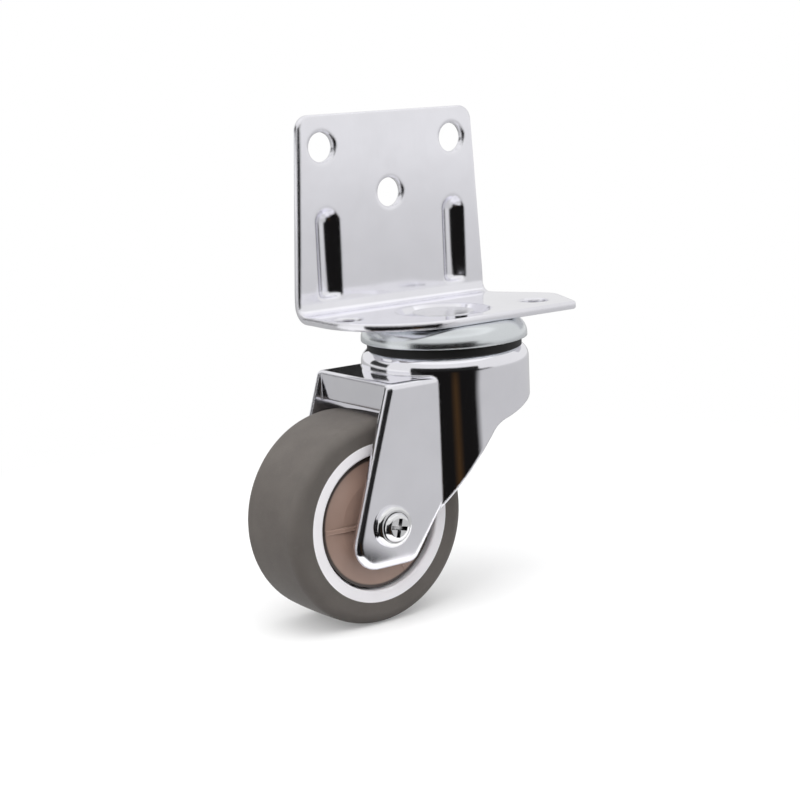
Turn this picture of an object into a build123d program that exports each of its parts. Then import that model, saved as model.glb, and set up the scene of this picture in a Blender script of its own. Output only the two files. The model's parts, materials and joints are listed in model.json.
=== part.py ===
from build123d import *
import math
import os

os.makedirs("parts", exist_ok=True)

# Light-duty swivel castor under an L-shaped fixing bracket, in millimetres.
# The origin is on the swivel axis, at the seat face of the bracket. +Z is up, the wheel
# trails towards -X, its axle lies along Y, and the upright wing stands on the +Y side.

# Main sizes
overall_height = 57.0  # seat face down to the floor
trail = 23.2  # swivel axis to wheel axle
wheel_diameter = 40.0
wheel_width = 17.0

# Bracket
bracket_sheet = 1.6
bracket_rise = 38.6  # top of the upright wing above the seat
bracket_reach = 12.4  # front edge of the seat wing, from the swivel axis
bracket_back = 15.8  # inner face of the upright wing, from the swivel axis
bracket_top_width = 42.5
bracket_bend_width = 46.5
bracket_bend = 2.0  # inner radius of the bend
bracket_top_corner = 3.0
bracket_knee = 1.6  # straight sides on either side of the bend
bracket_knee_round = 40.0
seat_swept_side = 24.75  # swept side of the seat wing at its front, from the swivel axis
seat_sweep = 19.0  # large front corner on that side
seat_lug_reach = 29.8  # tip of the lug on the other side, from the swivel axis
seat_lug_back = 0.5  # tip of the lug behind the swivel axis
seat_lug_foot = 23.9  # front end of the lug, from the swivel axis
seat_lug_neck = 4.5
seat_lug_round = 6.0
seat_lug_corner = 1.2
sheet_round = 0.45  # rolled edge of the pressed sheets
fixing_hole = 5.8
fixing_hole_round = 0.5
upper_hole_edge = 5.25  # hole centres inside the sheet's top width
seat_hole_edge = 4.2  # hole centre inside the sheet's swept side
upper_hole_height = 32.3
middle_hole_height = 22.4
seat_hole_stagger = 9.0  # how far the second seat hole lies before the first
dish_depth = 1.4
bead_spacing = 31.3
bead_width = 5.4
bead_depth = 1.6
bead_foot = 2.8  # lower end of each stiffening bead above the seat
bead_foot_round = 1.0
bead_rise = 20.4  # upper end of each bead above the seat
bead_lip = 0.5  # rolled edge round each bead

# Swivel head
pin_diameter = 8.0
pin_head_diameter = 12.0
pin_tail_diameter = 11.0
pin_tail_height = 1.6
pin_head_sink = 0.3  # head of the king pin below the seat face
cup_sheet = 1.2
cup_radius = 16.35
cup_shoulder = 3.3
cup_skirt = 0.45  # straight rim below the rolled shoulder
upper_ball = 4.0
upper_ball_inset = 1.25  # ball circle inside the cup's flat
upper_ball_gap = 0.4  # balls outside the dish
upper_ball_count = 14
lower_ball = 3.0
lower_ball_pitch = 7.6
lower_ball_count = 12
lower_cup_sheet = 1.2
race_depth = 0.15
seal_inset = 1.3  # seal inside the crown's outer face
seal_width = 1.1

# Fork
fork_sheet = 1.6
fork_side_gap = 2.1  # wheel face to leg
crown_overhang = 0.15  # crown outside the cup
crown_shoulder = 2.8
ledge_drop = 3.6  # crown top down to the front ledge
fold_round = 1.1  # rolled outer edges of the ledge and the legs
web_reach = 22.4  # front face of the web, from the swivel axis
web_height = 5.4
leg_front = 7.4  # axle to the leg's front edge
leg_end = 8.0  # axle down to the leg's lower edge
leg_heel = 5.3  # axle back to the end of the lower edge
leg_front_corner = 5.0
leg_heel_corner = 3.0
skirt_knee = 0.4  # knee of the rear edge, before the swivel axis
skirt_knee_drop = 13.6  # knee below the crown top
skirt_rear_drop = 9.1  # rear edge below the crown top
skirt_knee_round = 5.0

# Wheel
tyre_depth = 4.6
tyre_shoulder = 2.2
tread_crown = 0.3
tyre_key_width = 9.0
tyre_key_depth = 0.8
rim_wall = 2.25
rim_round = 0.4
web_thickness = 3.0
hub_wall = 1.8
hub_recess = 1.5  # hub face inside the wheel face
bearing_diameter = 13.0
bearing_width = 5.0
bearing_ring_wall = 1.0
bearing_ball = 2.0
bearing_ball_count = 7
cover_sheet = 1.0
cover_fall = 0.5  # cone of the cover, hub to rim
cover_rib_count = 3
cover_rib_width = 0.8
cover_rib_height = 0.35

# Axle
axle_diameter = 6.0
axle_head_diameter = 8.6
axle_head_height = 1.6
axle_screw_diameter = 4.0
axle_screw_reach = 11.0  # screw shank inside the barrel
screw_head_diameter = 5.6
screw_head_height = 1.5
screw_slot_width = 0.8
screw_slot_length = 3.6
screw_slot_depth = 0.8
screw_slot_turn = -13.0  # degrees, as the screw was left tightened
washer_diameter = 8.0
washer_height = 1.2
washer_seat_depth = 0.5
spacer_diameter = 8.0

# Clearances
fit_play = 0.02  # seated on or pressed into the same body
running_play = 0.05  # shafts and balls that turn
pin_play = 0.35  # king pin in the crown
seal_play = 0.15  # seal under the cup
cover_rim_gap = 0.5
cover_hub_gap = 0.4
head_sink_play = 0.15  # screw head in its washer

# Levels of the swivel head, from the seat face down
seat_under = -bracket_sheet
dish_floor = -dish_depth
dish_under = dish_floor - bracket_sheet
cup_ceiling = seat_under - cup_sheet
upper_ball_level = cup_ceiling - running_play - upper_ball / 2
crown_top = upper_ball_level - upper_ball / 2 + race_depth
crown_under = crown_top - fork_sheet
cup_rim = seat_under - cup_shoulder - cup_skirt
lower_ball_level = crown_under + race_depth - running_play - lower_ball / 2
lower_cup_floor = lower_ball_level - lower_ball / 2 + race_depth
lower_cup_under = lower_cup_floor - lower_cup_sheet
ledge_level = crown_top - ledge_drop
web_bottom = ledge_level - web_height

# Radii and half widths that follow
upper_hole_spacing = bracket_top_width - 2 * upper_hole_edge
pin_radius = pin_diameter / 2
crown_radius = cup_radius + crown_overhang
seal_radius = crown_radius - seal_inset
upper_ball_pitch = cup_radius - cup_shoulder - upper_ball_inset
dish_radius = upper_ball_pitch - upper_ball / 2 - upper_ball_gap
slope_shift = math.tan(math.radians(22.5))  # thickness carried round a 45 degree fold
dish_floor_radius = dish_radius - dish_depth
dish_under_radius = dish_floor_radius + bracket_sheet * slope_shift
cup_fold_radius = dish_under_radius + 2 * fit_play
cup_top_radius = cup_radius - cup_shoulder
leg_outer = wheel_width / 2 + fork_side_gap + fork_sheet
leg_inner = leg_outer - fork_sheet
wheel_radius = wheel_diameter / 2
wheel_level = -(overall_height - wheel_radius)
leg_bottom = wheel_level - leg_end
core_radius = wheel_radius - tyre_depth
rim_radius = core_radius - rim_wall
hub_half = wheel_width / 2 - hub_recess
hub_radius = bearing_diameter / 2 + hub_wall
axle_radius = axle_diameter / 2
inner_ring_radius = axle_radius + bearing_ring_wall
outer_ring_radius = bearing_diameter / 2 - bearing_ring_wall
bearing_pitch = (inner_ring_radius + outer_ring_radius) / 2
bearing_middle = hub_half - bearing_width / 2
hub_bore_radius = (inner_ring_radius + bearing_diameter / 2) / 2

wheel_centre = (-trail, 0, wheel_level)
wheel_axis = Axis(wheel_centre, (0, 1, 0))
sides = {"near": 1, "far": -1}


def wheel_section(turn=0.0):
    """Plane through the axle: local x is the radius, local y runs to the near side."""
    turned = math.radians(turn)
    radial = (math.sin(turned), 0, math.cos(turned))
    across = (math.cos(turned), 0, -math.sin(turned))
    return Plane(origin=wheel_centre, x_dir=radial, z_dir=across)


def axle_plane(station):
    """Plane square to the axle, facing the near side, at a distance from the wheel's middle."""
    return Plane(origin=(-trail, -station, wheel_level), x_dir=(1, 0, 0), z_dir=(0, -1, 0))


# L-shaped bracket
bend_half_width = bracket_bend_width / 2
bend_start = bracket_back - bracket_bend
seat_knee = bend_start - bracket_knee
wing_knee = bracket_bend + bracket_knee
swept_slope = (seat_swept_side - bend_half_width) / (seat_knee + bracket_reach)
swept_side_at_hole = bend_half_width + swept_slope * (seat_knee - seat_hole_stagger / 2)
seat_hole_reach = swept_side_at_hole - seat_hole_edge
bead_radius = ((bead_width / 2) ** 2 + bead_depth**2) / (2 * bead_depth)
bead_axis = bracket_back + bead_depth - bead_radius
bead_high = bead_rise - bead_width / 2
seat_holes = [
    (-seat_hole_reach, seat_hole_stagger / 2),
    (seat_hole_reach, -seat_hole_stagger / 2),
]
upright_holes = [
    (-upper_hole_spacing / 2, upper_hole_height),
    (upper_hole_spacing / 2, upper_hole_height),
    (0, middle_hole_height),
]


def bead_outline(radius, foot, foot_round):
    """Half outline of an upright bar on a bead's axis, with a round top and a blunt foot."""
    side = bead_axis + radius
    with BuildLine() as outline:
        Polyline((side - foot_round, foot), (bead_axis, foot), (bead_axis, bead_high + radius))
        RadiusArc((bead_axis, bead_high + radius), (side, bead_high), radius)
        Line((side, bead_high), (side, foot + foot_round))
        RadiusArc((side, foot + foot_round), (side - foot_round, foot), foot_round)
    return outline.line


# One bead's hollow, and the swelling behind it, both placed twice on the bracket
with BuildPart() as bead_hollow:
    with BuildSketch(Plane.YZ):
        add(bead_outline(bead_radius, bead_foot, bead_foot_round))
        make_face()
    revolve(axis=Axis((0, bead_axis, 0), (0, 0, 1)))

swell_foot = bead_foot - bracket_sheet / 4
with BuildPart() as bead_swell:
    with BuildSketch(Plane.YZ):
        add(bead_outline(bead_radius + bracket_sheet, swell_foot, bead_foot_round + bracket_sheet))
        make_face()
    revolve(axis=Axis((0, bead_axis, 0), (0, 0, 1)))
    split(bisect_by=Plane.XZ.offset(-bracket_back - bracket_sheet / 2), keep=Keep.BOTTOM)

with BuildPart() as l_bracket:
    # Seat wing: one front corner swept off, a lug beside the screw hole on the other side
    with BuildSketch(Plane.XY) as seat_wing:
        swept_knee = (-bend_half_width, seat_knee)
        swept_corner = (-seat_swept_side, -bracket_reach)
        lug_foot = (seat_lug_foot, -bracket_reach)
        lug_tip = (seat_lug_reach, seat_lug_back)
        lug_neck = (bend_half_width, seat_knee)
        with BuildLine():
            Polyline(
                (-bend_half_width, bend_start),
                swept_knee,
                swept_corner,
                lug_foot,
                lug_tip,
                lug_neck,
                (bend_half_width, bend_start),
                close=True,
            )
        make_face()
        corner_rounds = {
            swept_knee: bracket_knee_round,
            swept_corner: seat_sweep,
            lug_foot: seat_lug_corner,
            lug_tip: seat_lug_round,
            lug_neck: seat_lug_neck,
        }
        for corner, corner_round in corner_rounds.items():
            fillet(seat_wing.vertices().sort_by_distance(corner)[0], corner_round)
    extrude(amount=seat_under)
    # Upright wing, drawn in towards the top
    with BuildSketch(Plane.XZ.offset(-bracket_back)) as upright_wing:
        with BuildLine():
            Polyline(
                (-bracket_top_width / 2, bracket_rise),
                (bracket_top_width / 2, bracket_rise),
                (bend_half_width, wing_knee),
                (bend_half_width, bracket_bend),
                (-bend_half_width, bracket_bend),
                (-bend_half_width, wing_knee),
                close=True,
            )
        make_face()
        fillet(upright_wing.vertices().group_by(Axis.Y)[-1], bracket_top_corner)
        for hand in (1, -1):
            wing_corner = (hand * bend_half_width, wing_knee)
            fillet(upright_wing.vertices().sort_by_distance(wing_corner)[0], bracket_knee_round)
    extrude(amount=-bracket_sheet)
    # Bend between the wings
    with BuildSketch(Plane.YZ):
        with BuildLine():
            inner = CenterArc((bend_start, bracket_bend), bracket_bend, -90, 90)
            outer = CenterArc((bend_start, bracket_bend), bracket_bend + bracket_sheet, -90, 90)
            Line(inner @ 0, outer @ 0)
            Line(inner @ 1, outer @ 1)
        make_face()
    extrude(amount=bend_half_width, both=True)
    long_edges = l_bracket.edges().filter_by(lambda edge: edge.length > 1.5 * bracket_sheet)
    fillet(long_edges.filter_by(lambda edge: abs(edge.length - bracket_bend_width) > 1e-3), sheet_round)
    # Dish for the king pin's head
    with BuildSketch(Plane.XZ):
        with BuildLine():
            Polyline(
                (0, seat_under),
                (dish_radius + bracket_sheet * slope_shift, seat_under),
                (dish_under_radius, dish_under),
                (0, dish_under),
                close=True,
            )
        make_face()
    revolve(axis=Axis.Z)
    with BuildSketch(Plane.XZ):
        with BuildLine():
            Polyline((0, 0), (dish_radius, 0), (dish_floor_radius, dish_floor), (0, dish_floor), close=True)
        make_face()
    revolve(axis=Axis.Z, mode=Mode.SUBTRACT)
    with BuildSketch(Plane.XY):
        Circle(pin_radius + fit_play)
    extrude(amount=dish_under, mode=Mode.SUBTRACT)
    # Stiffening beads in the upright wing, pressed out from inside
    with Locations((-bead_spacing / 2, 0, 0), (bead_spacing / 2, 0, 0)):
        add(bead_swell.part)
        add(bead_hollow.part, mode=Mode.SUBTRACT)
    wing_edges = l_bracket.faces().filter_by(Axis.Y).edges()
    bead_edges = wing_edges.filter_by(
        lambda edge: abs(abs(edge.center().X) - bead_spacing / 2) < 0.9 * bead_width
    )
    fillet(bead_edges.filter_by_position(Axis.Z, 0, bead_rise + bracket_sheet), bead_lip)
    # Screw holes with rolled rims
    with BuildSketch(Plane.XY):
        with Locations(seat_holes):
            Circle(fixing_hole / 2)
    extrude(amount=seat_under, mode=Mode.SUBTRACT)
    with BuildSketch(Plane.XZ.offset(-bracket_back)):
        with Locations(upright_holes):
            Circle(fixing_hole / 2)
    extrude(amount=-bracket_sheet, mode=Mode.SUBTRACT)
    rims = l_bracket.edges().filter_by(GeomType.CIRCLE)
    fillet(rims.filter_by(lambda edge: abs(edge.radius - fixing_hole / 2) < 1e-6), fixing_hole_round)
l_bracket.part.label = "l_bracket"
export_step(l_bracket.part, "parts/l_bracket.step")

# Upper race cup: pressed sheet under the seat wing, with a rolled rim
with BuildPart() as upper_race_cup:
    with BuildSketch(Plane.XZ):
        with BuildLine():
            Polyline(
                (cup_radius - cup_sheet, seat_under - cup_shoulder),
                (cup_radius - cup_sheet, cup_rim),
                (cup_radius, cup_rim),
                (cup_radius, seat_under - cup_shoulder),
            )
            RadiusArc((cup_radius, seat_under - cup_shoulder), (cup_top_radius, seat_under), -cup_shoulder)
            Polyline(
                (cup_top_radius, seat_under),
                (cup_fold_radius + dish_depth, seat_under),
                (cup_fold_radius, dish_under),
                (pin_radius + fit_play, dish_under),
                (pin_radius + fit_play, dish_under - cup_sheet),
                (cup_fold_radius - cup_sheet * slope_shift, dish_under - cup_sheet),
                (cup_fold_radius - cup_sheet * slope_shift + dish_depth, cup_ceiling),
                (cup_top_radius, cup_ceiling),
            )
            RadiusArc(
                (cup_top_radius, cup_ceiling),
                (cup_radius - cup_sheet, seat_under - cup_shoulder),
                cup_shoulder - cup_sheet,
            )
        make_face()
    revolve(axis=Axis.Z)
upper_race_cup.part.label = "upper_race_cup"
export_step(upper_race_cup.part, "parts/upper_race_cup.step")

# King pin: riveted pin that holds the bracket and both cups together
with BuildPart() as king_pin:
    with BuildSketch(Plane.XZ) as pin_section:
        with BuildLine():
            Polyline(
                (0, -pin_head_sink),
                (pin_head_diameter / 2, -pin_head_sink),
                (pin_head_diameter / 2, dish_floor),
                (pin_radius, dish_floor),
                (pin_radius, lower_cup_under),
                (pin_tail_diameter / 2, lower_cup_under),
                (pin_tail_diameter / 2, lower_cup_under - pin_tail_height),
                (0, lower_cup_under - pin_tail_height),
                close=True,
            )
        make_face()
        tail_corner = (pin_tail_diameter / 2, lower_cup_under - pin_tail_height)
        fillet(pin_section.vertices().sort_by_distance(tail_corner)[0], pin_tail_height / 2)
    revolve(axis=Axis.Z)
king_pin.part.label = "king_pin"
export_step(king_pin.part, "parts/king_pin.step")

# Lower race cup: carries the lower balls on the king pin
lower_cup_radius = lower_ball_pitch + lower_ball / 2 + 2 * running_play + lower_cup_sheet
with BuildPart() as lower_race_cup:
    with BuildSketch(Plane.XZ) as lower_section:
        with BuildLine():
            Polyline(
                (pin_radius + fit_play, lower_cup_floor),
                (lower_cup_radius - lower_cup_sheet, lower_cup_floor),
                (lower_cup_radius - lower_cup_sheet, lower_ball_level),
                (lower_cup_radius, lower_ball_level),
                (lower_cup_radius, lower_cup_under),
                (pin_radius + fit_play, lower_cup_under),
                close=True,
            )
        make_face()
        rolled_corner = (lower_cup_radius, lower_cup_under)
        fillet(lower_section.vertices().sort_by_distance(rolled_corner)[0], lower_cup_sheet)
        with Locations((lower_ball_pitch, lower_ball_level)):
            Circle(lower_ball / 2 + fit_play, mode=Mode.SUBTRACT)
    revolve(axis=Axis.Z)
lower_race_cup.part.label = "lower_race_cup"
export_step(lower_race_cup.part, "parts/lower_race_cup.step")

# Ball rings of the swivel head
with BuildPart() as upper_balls:
    with Locations((0, 0, upper_ball_level)):
        with PolarLocations(upper_ball_pitch, upper_ball_count):
            Sphere(upper_ball / 2)
upper_balls.part.label = "upper_balls"
export_step(upper_balls.part, "parts/upper_balls.step")

with BuildPart() as lower_balls:
    with Locations((0, 0, lower_ball_level)):
        with PolarLocations(lower_ball_pitch, lower_ball_count):
            Sphere(lower_ball / 2)
lower_balls.part.label = "lower_balls"
export_step(lower_balls.part, "parts/lower_balls.step")

# Dust seal on the crown's shoulder
seal_inner = seal_radius - seal_width
shoulder_start = crown_radius - crown_shoulder
seal_foot = crown_top - crown_shoulder + math.sqrt(crown_shoulder**2 - (seal_radius - shoulder_start) ** 2)
with BuildPart() as dust_seal:
    with BuildSketch(Plane.XZ):
        with BuildLine():
            Polyline(
                (seal_radius, seal_foot),
                (seal_radius, cup_rim - seal_play),
                (seal_inner, cup_rim - seal_play),
                (seal_inner, crown_top),
            )
            RadiusArc((seal_inner, crown_top), (seal_radius, seal_foot), crown_shoulder)
        make_face()
    revolve(axis=Axis.Z)
dust_seal.part.label = "dust_seal"
export_step(dust_seal.part, "parts/dust_seal.step")

# Fork: round crown, front ledge, front web and two legs drawn from one sheet
leg_slope = (leg_front + trail - web_reach) / (ledge_level - wheel_level)
leg_toe = web_reach + leg_slope * (ledge_level - leg_bottom)
crease = math.sqrt(crown_radius**2 - leg_outer**2)
with BuildPart() as fork:
    # Round crown
    with BuildSketch(Plane.XZ) as crown_section:
        with BuildLine():
            Polyline(
                (0, crown_top),
                (crown_radius, crown_top),
                (crown_radius, leg_bottom),
                (0, leg_bottom),
                close=True,
            )
        make_face()
        fillet(crown_section.vertices().sort_by_distance((crown_radius, crown_top))[0], crown_shoulder)
    revolve(axis=Axis.Z)
    # Ledge and legs before they are hollowed
    with BuildSketch(Plane.XZ):
        with BuildLine():
            Polyline(
                (-web_reach, ledge_level),
                (0, ledge_level),
                (0, leg_bottom),
                (-leg_toe, leg_bottom),
                close=True,
            )
        make_face()
    extrude(amount=leg_outer, both=True)
    # Side outline of the skirt and the legs
    with BuildSketch(Plane.XZ) as side_outline:
        with BuildLine():
            Polyline(
                (-leg_toe, crown_top),
                (crown_radius, crown_top),
                (crown_radius, crown_top - skirt_rear_drop),
                (-skirt_knee, crown_top - skirt_knee_drop),
                (leg_heel - trail, leg_bottom),
                (-leg_toe, leg_bottom),
                close=True,
            )
        make_face()
        knee = (-skirt_knee, crown_top - skirt_knee_drop)
        fillet(side_outline.vertices().sort_by_distance(knee)[0], skirt_knee_round)
    extrude(amount=crown_radius, both=True, mode=Mode.INTERSECT)
    lower_corners = fork.edges().filter_by(Axis.Y).group_by(Axis.Z)[0].sort_by(Axis.X)
    fillet(lower_corners[0], leg_front_corner)
    lower_corners = fork.edges().filter_by(Axis.Y).group_by(Axis.Z)[0].sort_by(Axis.X)
    fillet(lower_corners[-1], leg_heel_corner)
    # Rolled edges of the legs and the ledge
    leg_faces = fork.faces().filter_by(Axis.Y)
    rolled = leg_faces.edges().filter_by(lambda edge: abs(edge.center().X + crease) > 1e-3)
    ledge_front = fork.edges().filter_by(Axis.Y).filter_by_position(Axis.Z, ledge_level, ledge_level)
    fillet(rolled + ledge_front, fold_round)
    # Hollow between the legs, open to the front below the web
    with BuildSketch(Plane.XZ):
        with BuildLine():
            Polyline(
                (-leg_toe, ledge_level),
                (-web_reach, ledge_level),
                (-web_reach, web_bottom),
                (fork_sheet - web_reach, web_bottom),
                (fork_sheet - web_reach, ledge_level - fork_sheet),
                (0, ledge_level - fork_sheet),
                (0, leg_bottom),
                (-leg_toe, leg_bottom),
                close=True,
            )
        make_face()
    extrude(amount=leg_inner, both=True, mode=Mode.SUBTRACT)
    with BuildSketch(Plane.XZ) as crown_hollow:
        with BuildLine():
            Polyline(
                (0, crown_under),
                (crown_radius - fork_sheet, crown_under),
                (crown_radius - fork_sheet, leg_bottom - fork_sheet),
                (0, leg_bottom - fork_sheet),
                close=True,
            )
        make_face()
        hollow_corner = (crown_radius - fork_sheet, crown_under)
        fillet(crown_hollow.vertices().sort_by_distance(hollow_corner)[0], crown_shoulder - fork_sheet)
    revolve(axis=Axis.Z, mode=Mode.SUBTRACT)
    # King pin bore, ball races and axle holes
    with BuildSketch(Plane.XY.offset(crown_top)):
        Circle(pin_radius + pin_play)
    extrude(amount=-fork_sheet, mode=Mode.SUBTRACT)
    with BuildSketch(Plane.XZ):
        with Locations((upper_ball_pitch, upper_ball_level)):
            Circle(upper_ball / 2 + fit_play)
        with Locations((lower_ball_pitch, lower_ball_level)):
            Circle(lower_ball / 2 + running_play)
    revolve(axis=Axis.Z, mode=Mode.SUBTRACT)
    with BuildSketch(axle_plane(leg_outer)):
        Circle(axle_radius + fit_play)
    extrude(amount=-2 * leg_outer, mode=Mode.SUBTRACT)
fork.part.label = "fork"
export_step(fork.part, "parts/fork.step")

# Tyre
tread_edge = wheel_radius - tread_crown
half_width = wheel_width / 2
with BuildPart() as tyre:
    with BuildSketch(wheel_section()) as tyre_section:
        with BuildLine():
            Polyline(
                (tread_edge, half_width),
                (core_radius, half_width),
                (core_radius, tyre_key_width / 2),
                (core_radius + tyre_key_depth, tyre_key_width / 2),
                (core_radius + tyre_key_depth, -tyre_key_width / 2),
                (core_radius, -tyre_key_width / 2),
                (core_radius, -half_width),
                (tread_edge, -half_width),
            )
            ThreePointArc((tread_edge, -half_width), (wheel_radius, 0), (tread_edge, half_width))
        make_face()
        fillet(tyre_section.vertices().group_by(Axis.X)[-1], tyre_shoulder)
    revolve(axis=wheel_axis)
tyre.part.label = "tyre"
export_step(tyre.part, "parts/tyre.step")

# Wheel core: rim, web and hub with a bearing seat at each end
with BuildPart() as wheel_core:
    with BuildSketch(wheel_section()) as core_section:
        with Locations((rim_radius + rim_wall / 2, 0)):
            Rectangle(rim_wall, wheel_width)
        fillet(core_section.vertices().group_by(Axis.X)[0], rim_round)
        with Locations((core_radius, 0)):
            Rectangle(2 * tyre_key_depth, tyre_key_width)
        with Locations(((hub_bore_radius + hub_radius) / 2, 0)):
            Rectangle(hub_radius - hub_bore_radius, 2 * hub_half)
        with Locations(((hub_radius + core_radius) / 2 - rim_wall / 2, 0)):
            Rectangle(core_radius - hub_radius - rim_wall + 2 * rim_round, web_thickness)
        for side in sides.values():
            with Locations((bearing_diameter / 4, side * bearing_middle)):
                Rectangle(bearing_diameter / 2, bearing_width, mode=Mode.SUBTRACT)
    revolve(axis=wheel_axis)
wheel_core.part.label = "wheel_core"
export_step(wheel_core.part, "parts/wheel_core.step")

# Hub covers: shallow cones with thin raised radial lines
cover_radius = rim_radius - cover_rim_gap
cover_hole = spacer_diameter / 2 + cover_hub_gap
for name, side in sides.items():
    hub_face = side * hub_half
    cover_face = side * (hub_half + cover_sheet)
    fall = side * cover_fall
    rib_top = side * cover_rib_height
    with BuildPart() as cover:
        with BuildSketch(wheel_section()):
            with BuildLine():
                Polyline(
                    (cover_hole, hub_face),
                    (hub_radius, hub_face),
                    (cover_radius, hub_face - fall),
                    (cover_radius, cover_face - fall),
                    (hub_radius, cover_face),
                    (cover_hole, cover_face),
                    close=True,
                )
            make_face()
        revolve(axis=wheel_axis)
        for rib in range(cover_rib_count):
            with BuildSketch(wheel_section(rib * 360 / cover_rib_count - 90)):
                with BuildLine():
                    Polyline(
                        (cover_hole, hub_face),
                        (hub_radius, hub_face),
                        (cover_radius, cover_face - fall),
                        (hub_radius, cover_face + rib_top),
                        (cover_hole, cover_face + rib_top),
                        close=True,
                    )
                make_face()
            extrude(amount=cover_rib_width / 2, both=True)
    cover.part.label = f"{name}_cover"
    export_step(cover.part, f"parts/{name}_cover.step")

# Ball bearings and spacers on the axle
for name, side in sides.items():
    middle = side * bearing_middle
    race = bearing_ball / 2 + running_play
    with BuildPart() as outer_ring:
        with BuildSketch(wheel_section()):
            with Locations((bearing_diameter / 2 - bearing_ring_wall / 2, middle)):
                Rectangle(bearing_ring_wall, bearing_width)
            with Locations((bearing_pitch, middle)):
                Circle(race, mode=Mode.SUBTRACT)
        revolve(axis=wheel_axis)
    outer_ring.part.label = f"{name}_bearing_outer_ring"
    export_step(outer_ring.part, f"parts/{name}_bearing_outer_ring.step")

    with BuildPart() as inner_ring:
        with BuildSketch(wheel_section()):
            with Locations((axle_radius + bearing_ring_wall / 2, middle)):
                Rectangle(bearing_ring_wall, bearing_width)
            with Locations((bearing_pitch, middle)):
                Circle(race, mode=Mode.SUBTRACT)
        revolve(axis=wheel_axis)
    inner_ring.part.label = f"{name}_bearing_inner_ring"
    export_step(inner_ring.part, f"parts/{name}_bearing_inner_ring.step")

    with BuildPart(axle_plane(middle)) as bearing_balls:
        with PolarLocations(bearing_pitch, bearing_ball_count):
            Sphere(bearing_ball / 2)
    bearing_balls.part.label = f"{name}_bearing_balls"
    export_step(bearing_balls.part, f"parts/{name}_bearing_balls.step")

    with BuildPart() as spacer:
        with BuildSketch(wheel_section()):
            with Locations(((axle_radius + spacer_diameter / 2) / 2, side * (hub_half + leg_inner) / 2)):
                Rectangle(spacer_diameter / 2 - axle_radius, leg_inner - hub_half)
        revolve(axis=wheel_axis)
    spacer.part.label = f"{name}_spacer"
    export_step(spacer.part, f"parts/{name}_spacer.step")

# Axle barrel: tube through both legs, with a domed head on the far leg
barrel_radius = axle_radius - fit_play
screw_radius = axle_screw_diameter / 2
barrel_bore = screw_radius + fit_play
with BuildPart() as axle_barrel:
    with BuildSketch(wheel_section()) as barrel_section:
        with BuildLine():
            Polyline(
                (0, -leg_outer - axle_head_height),
                (axle_head_diameter / 2, -leg_outer - axle_head_height),
                (axle_head_diameter / 2, -leg_outer),
                (barrel_radius, -leg_outer),
                (barrel_radius, leg_outer),
                (barrel_bore, leg_outer),
                (barrel_bore, leg_outer - axle_screw_reach - screw_radius),
                (0, leg_outer - axle_screw_reach - screw_radius),
                close=True,
            )
        make_face()
        dome_corner = (axle_head_diameter / 2, -leg_outer - axle_head_height)
        fillet(barrel_section.vertices().sort_by_distance(dome_corner)[0], 0.8 * axle_head_height)
    revolve(axis=wheel_axis)
axle_barrel.part.label = "axle_barrel"
export_step(axle_barrel.part, "parts/axle_barrel.step")

# Domed washer on the near leg
washer_face = leg_outer + washer_height
head_seat = washer_face - washer_seat_depth
with BuildPart() as axle_washer:
    with BuildSketch(wheel_section()) as washer_section:
        with BuildLine():
            Polyline(
                (barrel_bore, leg_outer),
                (washer_diameter / 2, leg_outer),
                (washer_diameter / 2, washer_face),
                (screw_head_diameter / 2 + head_sink_play, washer_face),
                (screw_head_diameter / 2 + head_sink_play, head_seat),
                (barrel_bore, head_seat),
                close=True,
            )
        make_face()
        dome_corner = (washer_diameter / 2, washer_face)
        fillet(washer_section.vertices().sort_by_distance(dome_corner)[0], 0.7 * washer_height)
    revolve(axis=wheel_axis)
axle_washer.part.label = "axle_washer"
export_step(axle_washer.part, "parts/axle_washer.step")

# Pan-head axle screw with a cross recess
head_top = head_seat + screw_head_height
with BuildPart() as axle_screw:
    with BuildSketch(wheel_section()) as screw_section:
        with BuildLine():
            Polyline(
                (0, leg_outer - axle_screw_reach),
                (screw_radius, leg_outer - axle_screw_reach),
                (screw_radius, head_seat),
                (screw_head_diameter / 2, head_seat),
                (screw_head_diameter / 2, head_top),
                (0, head_top),
                close=True,
            )
        make_face()
        dome_corner = (screw_head_diameter / 2, head_top)
        fillet(screw_section.vertices().sort_by_distance(dome_corner)[0], 0.7 * screw_head_height)
    revolve(axis=wheel_axis)
    with BuildSketch(axle_plane(head_top)):
        Rectangle(screw_slot_length, screw_slot_width, rotation=screw_slot_turn)
        Rectangle(screw_slot_width, screw_slot_length, rotation=screw_slot_turn)
    extrude(amount=-screw_slot_depth, mode=Mode.SUBTRACT)
axle_screw.part.label = "axle_screw"
export_step(axle_screw.part, "parts/axle_screw.step")
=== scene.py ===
import json
import math

import bpy
from mathutils import Matrix, Vector


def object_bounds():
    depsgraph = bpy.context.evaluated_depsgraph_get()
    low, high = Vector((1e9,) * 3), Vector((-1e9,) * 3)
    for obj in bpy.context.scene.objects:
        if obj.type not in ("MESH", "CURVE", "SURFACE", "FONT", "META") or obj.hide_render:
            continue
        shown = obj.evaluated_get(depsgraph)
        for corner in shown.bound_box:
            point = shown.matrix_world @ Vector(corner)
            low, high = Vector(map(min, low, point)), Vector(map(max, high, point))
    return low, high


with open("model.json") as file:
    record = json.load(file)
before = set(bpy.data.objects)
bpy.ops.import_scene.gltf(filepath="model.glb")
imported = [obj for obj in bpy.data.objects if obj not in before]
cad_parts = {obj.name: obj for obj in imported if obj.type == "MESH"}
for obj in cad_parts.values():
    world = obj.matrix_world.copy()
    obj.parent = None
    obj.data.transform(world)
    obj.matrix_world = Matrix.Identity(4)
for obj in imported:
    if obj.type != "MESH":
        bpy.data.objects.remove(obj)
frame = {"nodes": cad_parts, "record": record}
cad_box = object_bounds()
nodes = frame["nodes"]
scene = bpy.context.scene
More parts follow.
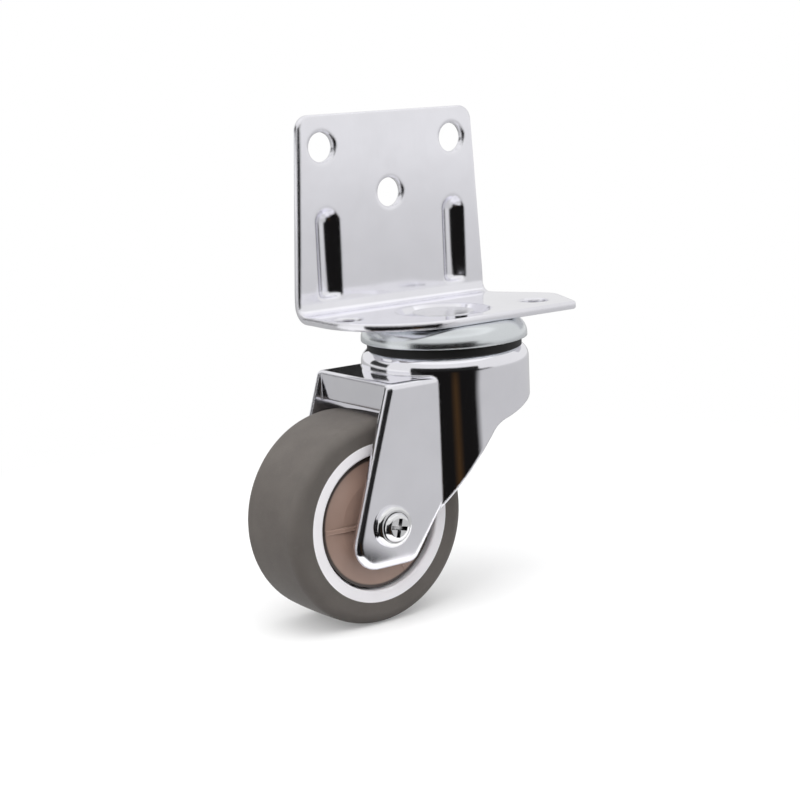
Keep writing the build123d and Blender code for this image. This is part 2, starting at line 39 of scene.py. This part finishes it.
floor_level = cad_box[0].z
mm = 0.001


# Node helpers
def new_material(name):
    mat = bpy.data.materials.new(name)
    mat.use_nodes = True
    tree = mat.node_tree
    tree.nodes.clear()
    out = tree.nodes.new("ShaderNodeOutputMaterial")
    return mat, tree, out


def add_node(tree, kind, inputs=None, **settings):
    node = tree.nodes.new(kind)
    for key, value in settings.items():
        setattr(node, key, value)
    for key, value in (inputs or {}).items():
        if isinstance(value, bpy.types.NodeSocket):
            tree.links.new(value, node.inputs[key])
        else:
            node.inputs[key].default_value = value
    return node


def rgb(r, g, b):
    return (r, g, b, 1.0)


def scaled(colour, factor):
    return rgb(*(min(1.0, factor * part) for part in colour[:3]))


def object_coords(tree):
    return add_node(tree, "ShaderNodeTexCoord").outputs["Object"]


def math_node(tree, operation, *values):
    return add_node(tree, "ShaderNodeMath", dict(enumerate(values)), operation=operation).outputs[0]


def vector_node(tree, operation, *values):
    return add_node(tree, "ShaderNodeVectorMath", dict(enumerate(values)), operation=operation).outputs


def length_of(tree, vector):
    return vector_node(tree, "LENGTH", vector)["Value"]


def stretch(tree, coords, scale):
    return add_node(tree, "ShaderNodeMapping", {"Vector": coords, "Scale": scale}).outputs["Vector"]


def noise(tree, coords, scale, detail=3.0, roughness=0.55):
    inputs = {"Vector": coords, "Scale": scale, "Detail": detail, "Roughness": roughness}
    return add_node(tree, "ShaderNodeTexNoise", inputs).outputs["Fac"]


def remap(tree, value, from_low, from_high, to_low, to_high):
    inputs = {
        "Value": value, "From Min": from_low, "From Max": from_high, "To Min": to_low, "To Max": to_high,
    }
    return add_node(tree, "ShaderNodeMapRange", inputs).outputs["Result"]


def spread(tree, value, low, high):
    """A noise value, which lies mostly between 0.3 and 0.7, drawn out from low to high."""
    return remap(tree, value, 0.3, 0.7, low, high)


def mix_colour(tree, factor, first, second):
    """The Mix node has its colours at inputs 6 and 7 and at output 2."""
    inputs = {0: factor, 6: first, 7: second}
    return add_node(tree, "ShaderNodeMix", inputs, data_type="RGBA").outputs[2]


def rounded_normal(tree, radius, samples):
    return add_node(tree, "ShaderNodeBevel", {"Radius": radius}, samples=samples).outputs["Normal"]


def edge_mask(tree, radius):
    """Near 1 along the outer and inner edges of a piece, 0 on its open faces."""
    full_edge = 0.86  # cosine between the rounded and the flat normal
    flat = add_node(tree, "ShaderNodeNewGeometry").outputs["Normal"]
    cosine = vector_node(tree, "DOT_PRODUCT", rounded_normal(tree, radius, 4), flat)["Value"]
    return remap(tree, cosine, 1.0, full_edge, 0.0, 1.0)


def openness(tree, reach):
    return add_node(tree, "ShaderNodeAmbientOcclusion", {"Distance": reach}, samples=6).outputs["AO"]


def bump(tree, height, strength, depth, normal=None):
    inputs = {"Height": height, "Strength": strength, "Distance": depth}
    if normal is not None:
        inputs["Normal"] = normal
    return add_node(tree, "ShaderNodeBump", inputs).outputs["Normal"]


def principled(tree, out, inputs):
    shader = add_node(tree, "ShaderNodeBsdfPrincipled", inputs)
    tree.links.new(shader.outputs[0], out.inputs[0])


# Bright plating: mirror-like, with faint haze, fine rubbing marks, slightly duller edges and, where
# asked, painted shade in recesses
def plating(name, tint, haze=0.05, wave=0.012 * mm, soften=0.1 * mm, recess_shade=0.0):
    mat, tree, out = new_material(name)
    coords = object_coords(tree)
    cloud = noise(tree, coords, 90.0, 4.0)
    grain = noise(tree, coords, 2600.0, 2.0)
    streak = noise(tree, stretch(tree, coords, (1.0, 1.0, 0.06)), 1500.0, 2.0)
    swell = noise(tree, coords, 160.0, 1.0)
    edges = edge_mask(tree, 0.35 * mm)
    dull = scaled(tint, 0.86)
    colour = mix_colour(tree, remap(tree, cloud, 0.35, 0.7, 0.0, 0.35), tint, dull)
    colour = mix_colour(tree, remap(tree, edges, 0.0, 1.0, 0.0, 0.5), colour, dull)
    # Painted shade: the colour darkens towards near black in recesses, found by ambient occlusion
    if recess_shade:
        painted_shade = remap(tree, openness(tree, 1.2 * mm), 0.35, 0.75, recess_shade, 0.0)
        colour = mix_colour(tree, painted_shade, colour, rgb(0.03, 0.03, 0.03))
    rough = remap(tree, cloud, 0.3, 0.75, haze, haze + 0.05)
    rough = math_node(tree, "ADD", rough, remap(tree, streak, 0.45, 0.8, 0.0, 0.03))
    rough = math_node(tree, "ADD", rough, remap(tree, edges, 0.0, 1.0, 0.0, 0.06))
    normal = bump(tree, swell, 1.0, wave, rounded_normal(tree, soften, 6))
    normal = bump(tree, grain, 0.25, 0.002 * mm, normal)
    principled(
        tree, out, {"Base Color": colour, "Metallic": 1.0, "Roughness": rough, "Normal": normal}
    )
    return mat


# Turned or ground steel, for the pieces deep inside
def ground_steel(name, tint):
    mat, tree, out = new_material(name)
    lines = noise(tree, stretch(tree, object_coords(tree), (1.0, 30.0, 1.0)), 300.0, 3.0)
    colour = mix_colour(tree, spread(tree, lines, 0.0, 1.0), tint, scaled(tint, 0.75))
    rough = spread(tree, lines, 0.18, 0.32)
    normal = bump(tree, lines, 0.4, 0.01 * mm)
    principled(
        tree, out, {"Base Color": colour, "Metallic": 1.0, "Roughness": rough, "Normal": normal}
    )
    return mat


# Soft tread: matt elastomer with a fine moulded grain, dust in the grain and rubbed edges
def elastomer(name, tint, dark, light):
    mat, tree, out = new_material(name)
    coords = object_coords(tree)
    grain = noise(tree, coords, 5200.0, 3.0, 0.6)
    mottle = noise(tree, coords, 140.0, 4.0)
    scuff = noise(tree, coords, 700.0, 5.0, 0.7)
    edges = edge_mask(tree, 0.4 * mm)
    colour = mix_colour(tree, spread(tree, mottle, 0.0, 1.0), tint, dark)
    colour = mix_colour(tree, remap(tree, scuff, 0.58, 0.8, 0.0, 0.25), colour, light)
    colour = mix_colour(tree, remap(tree, edges, 0.0, 1.0, 0.0, 0.35), colour, light)
    normal = bump(tree, scuff, 0.3, 0.04 * mm)
    normal = bump(tree, grain, 0.5, 0.02 * mm, normal)
    principled(
        tree, out,
        {
            "Base Color": colour, "Roughness": spread(tree, grain, 0.5, 0.68),
            "Specular IOR Level": 0.35, "Normal": normal,
        },
    )
    return mat


# Moulded plastic: clouded colour, faint flow marks, lighter edges that are partly rubbed wear and partly
# a painted highlight, and where asked painted shade
def moulded(name, tint, shade, rough, coat=0.0, rubbed_and_highlit=0.4, recess_shade=0.0, disc=None):
    mat, tree, out = new_material(name)
    coords = object_coords(tree)
    cloud = noise(tree, coords, 130.0, 3.0)
    flow = noise(tree, coords, 900.0, 3.0)
    grain = noise(tree, coords, 4200.0, 2.0)
    edges = edge_mask(tree, 0.3 * mm)
    black = rgb(0.012, 0.009, 0.008)
    colour = mix_colour(tree, spread(tree, cloud, 0.0, 1.0), tint, shade)
    # Painted shade: the colour darkens towards near black in recesses and by the rim, found by ambient
    # occlusion
    if recess_shade:
        painted_shade = remap(tree, openness(tree, 1.6 * mm), 0.5, 0.85, recess_shade, 0.0)
        colour = mix_colour(tree, painted_shade, colour, black)
    # Lighter edges: partly rubbed wear, partly a painted highlight, strongest on the cover's rib and
    # rims
    light = scaled(tint, 1.0 + 0.6 * rubbed_and_highlit)
    colour = mix_colour(tree, remap(tree, edges, 0.0, 1.0, 0.0, rubbed_and_highlit), colour, light)
    if disc:
        # Painted shadow gap: a dark ring painted along the edge of a disc that turns about Y
        hub, radius = disc
        arm = vector_node(tree, "SUBTRACT", coords, hub)["Vector"]
        arm = vector_node(tree, "MULTIPLY", arm, (1.0, 0.0, 1.0))["Vector"]
        painted_shade = remap(tree, length_of(tree, arm), radius - 0.7 * mm, radius - 0.4 * mm, 0.0, 0.9)
        colour = mix_colour(tree, painted_shade, colour, black)
    normal = bump(tree, flow, 0.35, 0.01 * mm)
    normal = bump(tree, grain, 0.4, 0.004 * mm, normal)
    principled(
        tree, out,
        {
            "Base Color": colour, "Roughness": spread(tree, flow, *rough),
            "Coat Weight": coat, "Coat Roughness": 0.12, "Normal": normal,
        },
    )
    return mat


# Finishes of the pieces, by the record's material slots
# Centre and radius of the near cover, for the painted shadow ring at its edge
cover_corners = [Vector(corner) for corner in nodes["near_cover"].bound_box]
cover_low, cover_high = cover_corners[0], cover_corners[6]
cover_disc = ((cover_low + cover_high) / 2, (cover_high.z - cover_low.z) / 2)
bright = rgb(0.86, 0.86, 0.87)
polished = rgb(0.85, 0.85, 0.86)
finishes = {
    "bracket_plating": plating("bracket_plating", rgb(0.925, 0.92, 0.965), soften=1.0 * mm),
    "cup_plating": plating("cup_plating", rgb(0.73, 0.76, 0.78), haze=0.2, soften=0.6 * mm),
    "fork_plating": plating("fork_plating", rgb(0.92, 0.915, 0.96), soften=0.6 * mm),
    "pin_steel": plating("pin_steel", polished, haze=0.12, wave=0.02 * mm),
    "ball_steel": plating("ball_steel", polished, haze=0.04, wave=0.002 * mm),
    "axle_plating": plating("axle_plating", bright, haze=0.08),
    "washer_plating": plating("washer_plating", rgb(0.88, 0.88, 0.89), haze=0.08),
    # The screw's recesses get painted shade
    "screw_plating": plating("screw_plating", bright, haze=0.1, recess_shade=0.9),
    "spacer_steel": ground_steel("spacer_steel", rgb(0.6, 0.6, 0.61)),
    "bearing_steel": ground_steel("bearing_steel", rgb(0.62, 0.62, 0.64)),
    "seal_rubber": elastomer(
        "seal_rubber", rgb(0.008, 0.008, 0.008), rgb(0.004, 0.004, 0.004), rgb(0.03, 0.03, 0.03)
    ),
    "tyre_rubber": elastomer(
        "tyre_rubber", rgb(0.12, 0.107, 0.097), rgb(0.1, 0.089, 0.081), rgb(0.185, 0.17, 0.158)
    ),
    "core_plastic": moulded(
        "core_plastic", rgb(0.93, 0.91, 0.94), rgb(0.88, 0.86, 0.89), (0.28, 0.4)
    ),
    # The cover gets painted shade in its recesses, a painted shadow ring at its edge and painted
    # highlights on its edges
    "cover_plastic": moulded(
        "cover_plastic", rgb(0.36, 0.244, 0.199), rgb(0.315, 0.211, 0.17), (0.3, 0.42),
        coat=0.12, rubbed_and_highlit=0.9, recess_shade=0.85, disc=cover_disc,
    ),
}
for row in frame["record"]["subparts"]:
    mesh = nodes[row["node"]].data
    mesh.materials.clear()
    mesh.materials.append(finishes[row["material_slot"]])


# Stage: floor, light boxes and what the plating mirrors
def stage_object(name, points, faces, mat):
    mesh = bpy.data.meshes.new(name)
    mesh.from_pydata(points, [], faces)
    mesh.materials.append(mat)
    obj = bpy.data.objects.new(name, mesh)
    scene.collection.objects.link(obj)
    return obj


def mirrored_card(name, turn, radius, height, mat):
    """Ring sector about the swivel axis that only mirrors show. Azimuth 0 is -Y and grows towards +X."""
    step_angle = 4
    steps = max(2, int((turn[1] - turn[0]) / step_angle))
    points = []
    for i in range(steps + 1):
        azimuth = math.radians(turn[0] + (turn[1] - turn[0]) * i / steps)
        for reach, level in zip(radius, height):
            points.append((reach * math.sin(azimuth), -reach * math.cos(azimuth), level))
    faces = [(2 * i, 2 * i + 1, 2 * i + 3, 2 * i + 2) for i in range(steps)]
    card = stage_object(name, points, faces, mat)
    card.visible_camera = False
    card.visible_diffuse = False
    card.visible_shadow = False
    card.visible_transmission = False


# Distances at which a card has its near and its far tone
near_tone = 0.25
far_tone = 1.7


def glow(name, near, far):
    """Plain light whose strength goes from near to far with the distance from the castor."""
    mat, tree, out = new_material(name)
    away = length_of(tree, object_coords(tree))
    strength = remap(tree, away, near_tone, far_tone, near, far)
    light = add_node(tree, "ShaderNodeEmission", {"Strength": strength})
    tree.links.new(light.outputs[0], out.inputs[0])
    return mat


def room_tones(name):
    """Tones of the floor before the castor: a dark room to the left, a pale table to the right."""
    border_near, border_far = math.radians(4), math.radians(27)
    border_start, border_end = 0.25, 0.6
    border_blur = math.radians(4)
    stripe_turn, stripe_half = math.radians(-25), math.radians(7)
    stripe_end, stripe_gone = 0.26, 0.32
    mat, tree, out = new_material(name)
    coords = object_coords(tree)
    away = length_of(tree, coords)
    place = add_node(tree, "ShaderNodeSeparateXYZ", {"Vector": coords}).outputs
    turn = math_node(tree, "ARCTAN2", place["X"], math_node(tree, "MULTIPLY", place["Y"], -1.0))
    border = remap(tree, away, border_start, border_end, border_near, border_far)
    pale = remap(tree, math_node(tree, "SUBTRACT", turn, border), -border_blur, border_blur, 0.0, 1.0)
    off_stripe = math_node(tree, "ABSOLUTE", math_node(tree, "SUBTRACT", turn, stripe_turn))
    stripe_top = remap(tree, away, stripe_end, stripe_gone, 1.0, 0.0)
    stripe = remap(tree, off_stripe, 0.0, stripe_half, stripe_top, 0.0)
    room = mix_colour(tree, stripe, rgb(0.008, 0.0075, 0.0075), rgb(0.055, 0.03, 0.013))
    table = remap(tree, away, near_tone, far_tone, 0.0, 1.0)
    table = mix_colour(tree, table, rgb(0.58, 0.58, 0.585), rgb(0.82, 0.82, 0.825))
    light = add_node(
        tree, "ShaderNodeEmission", {"Color": mix_colour(tree, pale, room, table), "Strength": 1.0}
    )
    tree.links.new(light.outputs[0], out.inputs[0])
    return mat


def white_floor(name):
    """Pale paper under the castor, which fades to plain white away from it."""
    fade_start, fade_end = 0.034, 0.18
    mat, tree, out = new_material(name)
    coords = object_coords(tree)
    rays = add_node(tree, "ShaderNodeLightPath").outputs
    paper = spread(tree, noise(tree, coords, 40.0, 2.0), 0.0, 1.0)
    colour = mix_colour(tree, paper, rgb(0.92, 0.92, 0.92), rgb(0.9, 0.9, 0.9))
    colour = mix_colour(tree, rays["Is Diffuse Ray"], colour, rgb(0.36, 0.36, 0.36))
    near = add_node(
        tree, "ShaderNodeBsdfPrincipled",
        {"Base Color": colour, "Roughness": 0.9, "Specular IOR Level": 0.1},
    )
    far = add_node(tree, "ShaderNodeEmission", {"Strength": 1.0})
    fade = remap(tree, length_of(tree, coords), fade_start, fade_end, 0.0, 1.0)
    fade = math_node(tree, "MULTIPLY", fade, rays["Is Camera Ray"])
    both = add_node(tree, "ShaderNodeMixShader", {0: fade, 1: near.outputs[0], 2: far.outputs[0]})
    tree.links.new(both.outputs[0], out.inputs[0])
    return mat


floor_half = 6.0
floor_corners = [
    (x * floor_half, y * floor_half, floor_level) for x, y in ((-1, -1), (1, -1), (1, 1), (-1, 1))
]
stage_object("floor", floor_corners, [(0, 1, 2, 3)], white_floor("floor"))

card_level = floor_level + 0.4 * mm
room_radius = 3.0
flat = (card_level, card_level)
wall = (room_radius, room_radius)
black_card = glow("black_card", 0.02, 0.02)
mirrored_card("front_floor", (-85, 125), (0.05, room_radius), flat, room_tones("room_tones"))
mirrored_card("dark_wall", (-85, 8), wall, (card_level, 1.0), black_card)
mirrored_card("grey_wall", (8, 62), wall, (card_level, 0.9), glow("grey_wall", 0.82, 0.82))
mirrored_card("back_floor", (125, 238), (0.02, room_radius), flat, glow("back_floor", 0.48, 0.62))
mirrored_card("left_floor", (238, 275), (0.02, room_radius), flat, glow("left_floor", 0.95, 0.95))
mirrored_card("dark_flag", (152, 168), (0.104, 0.104), (-0.004, 0.016), black_card)
mirrored_card("left_flag", (200, 236), (1.2, 1.2), (0.06, 0.5), glow("left_flag", 0.04, 0.04))
mirrored_card("overhead", (0, 360), (0.0, 1.0), (1.2, 1.2), glow("overhead", 0.2, 1.2))


def area_light(name, place, size, power):
    aim = Vector((-0.02, 0.0, -0.02))
    data = bpy.data.lights.new(name, "AREA")
    data.shape = "SQUARE"
    data.size = size
    data.energy = power
    lamp = bpy.data.objects.new(name, data)
    lamp.location = place
    lamp.rotation_mode = "QUATERNION"
    lamp.rotation_quaternion = (aim - Vector(place)).to_track_quat("-Z", "Y")
    scene.collection.objects.link(lamp)
    lamp.visible_glossy = False


area_light("top_box", (-0.15, -0.25, 0.85), 0.9, 5.0)
area_light("left_box", (-0.8, -0.2, 0.35), 0.6, 1.8)


# World: even light, a grey room in mirrors and white behind the castor
def background(tree, strength):
    inputs = {"Color": rgb(1.0, 1.0, 1.0), "Strength": strength}
    return add_node(tree, "ShaderNodeBackground", inputs).outputs[0]


world = bpy.data.worlds.new("studio")
scene.world = world
world.use_nodes = True
sky = world.node_tree
sky.nodes.clear()
sky_out = sky.nodes.new("ShaderNodeOutputWorld")
paths = add_node(sky, "ShaderNodeLightPath").outputs
unseen = add_node(
    sky, "ShaderNodeMixShader",
    {0: paths["Is Glossy Ray"], 1: background(sky, 0.98), 2: background(sky, 0.82)},
)
seen = add_node(
    sky, "ShaderNodeMixShader",
    {0: paths["Is Camera Ray"], 1: unseen.outputs[0], 2: background(sky, 1.0)},
)
sky.links.new(seen.outputs[0], sky_out.inputs[0])

# Camera at the photo's place, from the fit of the photo
photo_width = 800
focal_pixels = 1796.703
camera_place = Vector((-0.212862, -0.276169, 0.049756))
camera_right = Vector((0.802139, -0.5956, -0.042812))
camera_down = Vector((-0.147044, -0.12753, -0.980874))
camera_ahead = Vector((0.578749, 0.793093, -0.189876))
camera_data = bpy.data.cameras.new("camera")
camera_data.sensor_width = 36.0
camera_data.lens = camera_data.sensor_width * focal_pixels / photo_width
camera_data.clip_start = 0.01
camera_data.clip_end = 50.0
camera = bpy.data.objects.new("camera", camera_data)
scene.collection.objects.link(camera)
camera_turn = Matrix((camera_right, -camera_down, -camera_ahead)).transposed()
camera.matrix_world = Matrix.Translation(camera_place) @ camera_turn.to_4x4()
scene.camera = camera
scene.view_settings.view_transform = "Standard"
